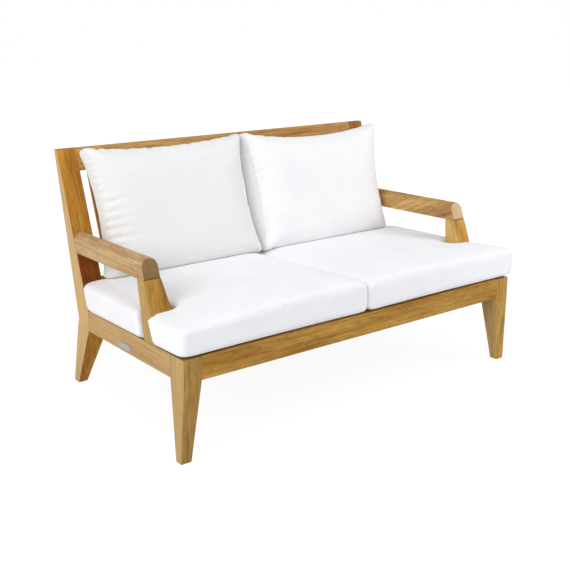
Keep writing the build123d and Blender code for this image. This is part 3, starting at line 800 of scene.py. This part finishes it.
# Each cushion's widths along the top and the bottom, how far its sides and top are drawn in, and
# how much lower its outer corner is than its inner one. Then how far use has pressed the front of
# its inner side in at half height, and pulled its outer top corner out
pillow_patterns = {
    "left": (-1, 0.700, 0.682, 0.028, 0.022, 0.0, 0.003, 0.0),
    "right": (1, 0.720, 0.674, 0.018, 0.036, 0.010, 0.003, 0.012),
}
for side, measures in pillow_patterns.items():
    sign, top, bottom, draw, dip, drop, pressed, pulled = measures
    body, cover = f"back_cushion_{side}", f"back_cover_{side}"
    clear = clear_of(sign, (BACK_FOOT, BACK_FORWARD))
    rests = (-SEAT_UP, -BACK_FORWARD)
    cushion = filled(body, cover, voxel=0.007, softened=2, swell=0.006, rests=rests, clear=clear)
    for vertex in cushion.data.vertices:
        across = sign * vertex.co.x
        level = (vertex.co - PILLOW_FOOT).dot(PILLOW_UP) / PILLOW_HEIGHT
        ahead = (vertex.co - PILLOW_FOOT).dot(PILLOW_FORWARD) / HALF_BOXING
        half_way = min(1.0, max(0.0, 1.6 - 1.6 * (2 * level - 1) ** 2))
        inner = max(0.0, 1 - across / 0.25) ** 2 * half_way
        outer = max(0.0, 1 - (top - across) / 0.2) ** 2 * min(1.0, max(0.0, level)) ** 2
        # The front gives way, while the rear is squeezed against the cushion beside it
        squeeze = pressed * max(0.0, ahead) - SQUEEZED * min(1.0, max(0.0, 0.4 - ahead))
        vertex.co.x += sign * (squeeze * inner + pulled * outer)
    front_seam = (PILLOW_FOOT + PILLOW_FORWARD * HALF_BOXING, PILLOW_FORWARD)
    rear_seam = (PILLOW_FOOT - REAR_FORWARD * HALF_BOXING, REAR_FORWARD)
    sewn(cushion, [front_seam, rear_seam], depth=0.0032, reach=0.016)

    def edge(up, outer):
        """How far across the side seam lies at a height, at the outer or the inner side."""
        level = up / PILLOW_HEIGHT
        middle = 1 - (2 * level - 1) ** 2
        if not outer:
            return (draw + pressed) * middle
        return bottom + (top - bottom) * level - draw * middle + pulled * level**2

    creases = []
    for outer in (False, True):
        # Puckers cross the boxing every 25 mm or so, and gathers run from the seam into the face
        inward = Vector((-sign if outer else sign, 0, 0))
        up = 0.03
        while up < PILLOW_HEIGHT - 0.04:
            place = pillow_place(up, sign * edge(up, outer), HALF_BOXING)
            way = PILLOW_UP * random.uniform(-0.3, 0.3) - PILLOW_FORWARD
            deep = random.uniform(0.0003, 0.0014)
            creases.append((place, way, -inward, 0.045, 0.007, deep))
            if random.random() < 0.6:
                middle = max(0.0, 1 - abs(up / 0.2 - 1)) * random.random()
                reach = random.uniform(0.02, 0.05) + 0.1 * middle
                deep = random.uniform(0.0003, 0.001) + 0.003 * middle
                way = inward + PILLOW_UP * random.uniform(-0.15, 0.4)
                breadth = random.uniform(0.005, 0.008)
                creases.append((place, way, PILLOW_FORWARD, reach, breadth, deep))
            up += random.uniform(0.014, 0.04)
    for up in (0.1, 0.13, 0.165, 0.195, 0.225, 0.26) if side == "left" else (0.3, 0.36):
        # The cloth is held too tight at the seam here, and fans out in short soft folds
        place = pillow_place(up, sign * edge(up, side == "left"), HALF_BOXING)
        way = Vector((1, 0, 0)) + PILLOW_UP * (up - 0.12)
        reach = random.uniform(0.1, 0.15)
        deep = random.uniform(0.003, 0.0045)
        creases.append((place, way, PILLOW_FORWARD, reach, 0.008, deep))
    across = 0.06
    while across < top - 0.06:
        # The top seam is drawn down in shallow scallops, with short folds below them
        up = PILLOW_HEIGHT - drop * across / top - dip * (1 - (2 * across / top - 1) ** 2)
        place = pillow_place(up, sign * across, HALF_BOXING)
        deep = random.uniform(0.0003, 0.0024)
        breadth = random.uniform(0.01, 0.018)
        creases.append((place, -PILLOW_FORWARD, PILLOW_UP, 0.08, breadth, deep))
        way = Vector((random.uniform(-0.5, 0.5), 0, 0)) - PILLOW_UP
        reach = random.uniform(0.03, 0.08)
        breadth = random.uniform(0.006, 0.011)
        creases.append((place, way, PILLOW_FORWARD, reach, breadth, deep))
        across += random.uniform(0.035, 0.1)
    for _ in range(5):
        # Broad shallow folds run across the face from the corners
        up = random.choice((0.08, 0.4))
        start = random.choice((0.08, top - 0.08))
        inward = sign * math.copysign(1, top / 2 - start)
        way = Vector((inward, 0, 0)) + PILLOW_UP * random.uniform(-0.5, 0.5)
        deep = random.uniform(0.001, 0.0022)
        place = pillow_place(up, sign * start, 0.06)
        creases.append((place, way, PILLOW_FORWARD, 0.3, 0.022, deep))

    # The edges of the foot stand just clear of the seat. The normals are all read before the
    # first vertex is moved, because a move has them all worked out again
    vertices = cushion.data.vertices
    down = [-vertex.normal.dot(SEAT_UP) for vertex in vertices]
    for vertex, faces_down in zip(vertices, down):
        vertex.co += SEAT_UP * FOOT_LIFT * min(1.0, max(0.0, faces_down - 0.5) / 0.4)
    gathered(cushion, creases, clear)
    pieces = [cover, f"back_core_{side}", f"back_zip_{side}"]
    finished(cushion, body, pieces, pillow_canvases[side])
